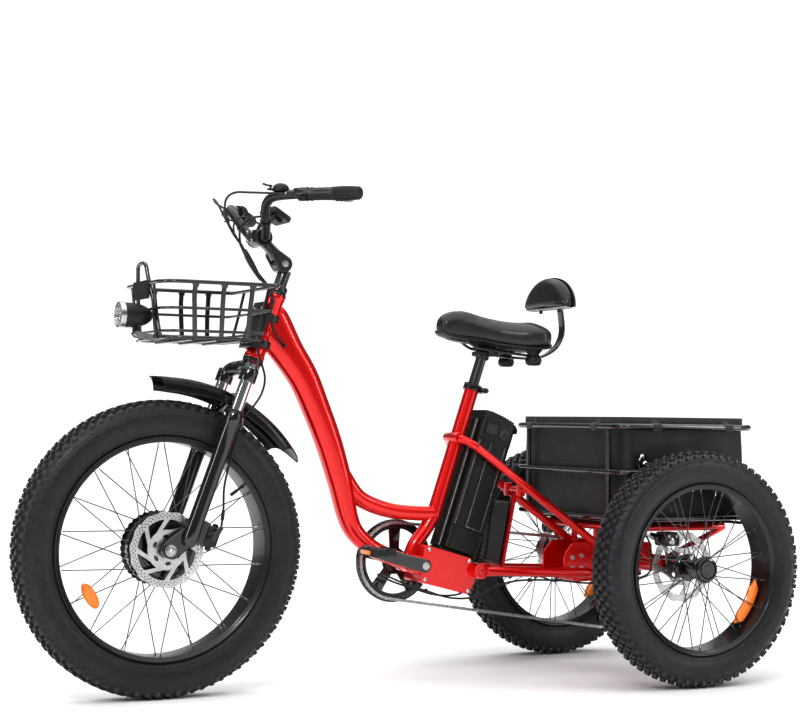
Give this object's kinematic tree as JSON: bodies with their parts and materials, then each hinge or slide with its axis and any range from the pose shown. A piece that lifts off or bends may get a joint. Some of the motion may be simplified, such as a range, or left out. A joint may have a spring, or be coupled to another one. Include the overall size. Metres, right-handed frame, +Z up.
{
  "type": "adult tricycle",
  "caption": "Step-through fat-tyre electric tricycle with sprung fork, hub motor, frame battery, padded seat with backrest, wire front basket and lined rear cargo basket.",
  "frame": {"origin": "on the floor, at the middle of the tricycle's length and width", "axes": "+X forward, +Y to the rider's left, +Z up; wheels straight ahead, left crank forward"},
  "size_m": [1.928, 0.79, 1.204],
  "materials": {
    "frame_red": "deep candy red lacquer, glossy",
    "black_paint": "satin black powder coat",
    "black_plastic": "moulded plastic, fine texture",
    "gloss_black": "smooth moulded plastic",
    "tyre_rubber": "tyre rubber, matt",
    "grip_rubber": "soft rubber, fine pattern",
    "cable_jacket": "smooth cable jacket",
    "bright_steel": "bright steel",
    "chrome": "polished",
    "alloy": "machined alloy",
    "vinyl": "grained black vinyl cover over foam",
    "liner_cloth": "coated woven cloth",
    "battery_shell": "black battery case"
  },
  "bodies": {
    "frame": {"head_tube": "frame_red", "headset": "black_paint", "down_tube": "frame_red", "step_tube": "frame_red", "seat_tube": "frame_red", "controller_case": "frame_red", "controller_cover": "frame_red", "battery_dock": "alloy", "wiring_box": "black_plastic", "rear_frame": "frame_red", "axle_carrier": "frame_red", "rack": "frame_red", "frame_bolts": "chrome", "front_basket": "black_paint", "basket_bracket": "black_paint", "cargo_basket": "black_paint", "cargo_liner": "liner_cloth", "chain": "bright_steel", "derailleur": "black_plastic", "rear_calipers": "black_paint", "seat_clamp": "black_paint", "frame_cables": "cable_jacket", "lamp_bracket": "chrome"},
    "battery_pack": {"battery": "battery_shell"},
    "lamp": {"headlight": "black_plastic"},
    "clamp_lever": {"seat_clamp_lever": "black_paint"},
    "seat": {"seatpost": "black_paint", "saddle_frame": "black_paint", "saddle_pad": "vinyl", "backrest_arm": "black_paint", "backrest_pad": "vinyl"},
    "crank": {"crank_arms": "black_paint", "chainring": "black_paint"},
    "pedal_left": {"left_pedal": "black_plastic"},
    "pedal_right": {"right_pedal": "black_plastic"},
    "rear_sprocket": {"cassette": "bright_steel"},
    "steering": {"fork_upper": "black_paint", "stem_riser": "black_paint", "bar_cables": "cable_jacket"},
    "bars": {"stem_arm": "black_paint", "handlebar": "black_paint", "grips": "grip_rubber", "lever_mounts": "black_paint", "display": "gloss_black"},
    "brake_left": {"left_brake_lever": "black_paint"},
    "brake_right": {"right_brake_lever": "black_paint"},
    "thumb_throttle": {"throttle": "black_plastic"},
    "bell_lever": {"bell_striker": "black_plastic"},
    "fork_sprung": {"fork_lowers": "black_paint", "front_fender": "black_plastic", "front_caliper": "black_paint"},
    "front_caliper_lever": {"caliper_arm": "bright_steel"},
    "rear_caliper_levers": {"rear_caliper_arms": "bright_steel"},
    "wheel_front": {"front_tyre": "tyre_rubber", "front_wheel": "black_paint", "hub_motor": "black_paint"},
    "wheel_rear_left": {"rear_left_tyre": "tyre_rubber", "rear_left_wheel": "black_paint"},
    "wheel_rear_right": {"rear_right_tyre": "tyre_rubber", "rear_right_wheel": "black_paint"}
  },
  "joints": [
    {"name": "steering", "type": "hinge", "parent": "frame", "child": "steering", "pos_m": [0.35347, 0, 0.89095], "axis": [-0.342, 0, 0.9397], "range_deg": [-60, 60], "deforming": ["bar_cables"]},
    {"name": "fork_travel", "type": "slide", "parent": "steering", "child": "fork_sprung", "axis": [-0.342, 0, 0.9397], "range_m": [0, 0.05], "stiffness_N_per_m": 9000, "springref_m": -0.02},
    {"name": "stem_tilt", "type": "hinge", "parent": "steering", "child": "bars", "pos_m": [0.31806, 0, 1.02918], "axis": [0, 1, 0], "range_deg": [-15, 30]},
    {"name": "front_wheel_spin", "type": "hinge", "parent": "fork_sprung", "child": "wheel_front", "pos_m": [0.616, 0, 0.348], "axis": [0, 1, 0], "continuous": true},
    {"name": "rear_left_spin", "type": "hinge", "parent": "frame", "child": "wheel_rear_left", "pos_m": [-0.671, 0.341, 0.293], "axis": [0, 1, 0], "continuous": true},
    {"name": "rear_right_spin", "type": "hinge", "parent": "frame", "child": "wheel_rear_right", "pos_m": [-0.671, -0.341, 0.293], "axis": [0, 1, 0], "continuous": true},
    {"name": "crank_spin", "type": "hinge", "parent": "frame", "child": "crank", "pos_m": [-0.039, 0, 0.296], "axis": [0, 1, 0], "continuous": true},
    {"name": "left_pedal_spin", "type": "hinge", "parent": "crank", "child": "pedal_left", "pos_m": [0.12028, 0.144, 0.33908], "axis": [0, 1, 0], "continuous": true},
    {"name": "right_pedal_spin", "type": "hinge", "parent": "crank", "child": "pedal_right", "pos_m": [-0.19828, -0.16, 0.25292], "axis": [0, 1, 0], "continuous": true},
    {"name": "cassette_spin", "type": "hinge", "parent": "frame", "child": "rear_sprocket", "pos_m": [-0.671, -0.08, 0.293], "axis": [0, 1, 0], "continuous": true},
    {"name": "battery_slide", "type": "slide", "parent": "frame", "child": "battery_pack", "axis": [-0.3173, 0, 0.9483], "range_m": [0, 0.08]},
    {"name": "seat_height", "type": "slide", "parent": "frame", "child": "seat", "axis": [-0.3173, 0, 0.9483], "range_m": [-0.04, 0.12]},
    {"name": "seat_lever_turn", "type": "hinge", "parent": "frame", "child": "clamp_lever", "pos_m": [-0.24051, 0, 0.73212], "axis": [0, 1, 0], "range_deg": [-170, 0]},
    {"name": "left_brake_pull", "type": "hinge", "parent": "bars", "child": "brake_left", "pos_m": [0.37739, 0.22824, 1.17533], "axis": [0, 0, 1], "range_deg": [0, 14], "stiffness_Nm_per_rad": 2},
    {"name": "right_brake_pull", "type": "hinge", "parent": "bars", "child": "brake_right", "pos_m": [0.37739, -0.22824, 1.17533], "axis": [0, 0, -1], "range_deg": [0, 14], "stiffness_Nm_per_rad": 2},
    {"name": "front_caliper_pull", "type": "hinge", "parent": "fork_sprung", "child": "front_caliper_lever", "pos_m": [0.52124, 0.078, 0.37736], "axis": [0, 1, 0], "range_deg": [0, 14]},
    {"name": "rear_caliper_pull", "type": "hinge", "parent": "frame", "child": "rear_caliper_levers", "pos_m": [-0.628, 0, 0.366], "axis": [0, 1, 0], "range_deg": [0, 14]},
    {"name": "throttle_push", "type": "hinge", "parent": "bars", "child": "thumb_throttle", "pos_m": [0.34181, -0.22056, 1.17484], "axis": [-0.5457, -0.8372, -0.0372], "range_deg": [0, 30], "stiffness_Nm_per_rad": 0.3},
    {"name": "bell_push", "type": "hinge", "parent": "bars", "child": "bell_lever", "pos_m": [0.414, 0.158, 1.192], "axis": [0, 0, 1], "range_deg": [0, 30], "stiffness_Nm_per_rad": 0.1},
    {"name": "headlight_tilt", "type": "hinge", "parent": "frame", "child": "lamp", "pos_m": [0.698, 0.045, 0.846], "axis": [0, 1, 0], "range_deg": [0, 20]}
  ],
  "couplings": [
    {"joint": "cassette_spin", "follows": "crank_spin", "ratio": 2.4},
    {"joint": "front_caliper_pull", "follows": "left_brake_pull", "ratio": 1},
    {"joint": "rear_caliper_pull", "follows": "right_brake_pull", "ratio": 1}
  ]
}
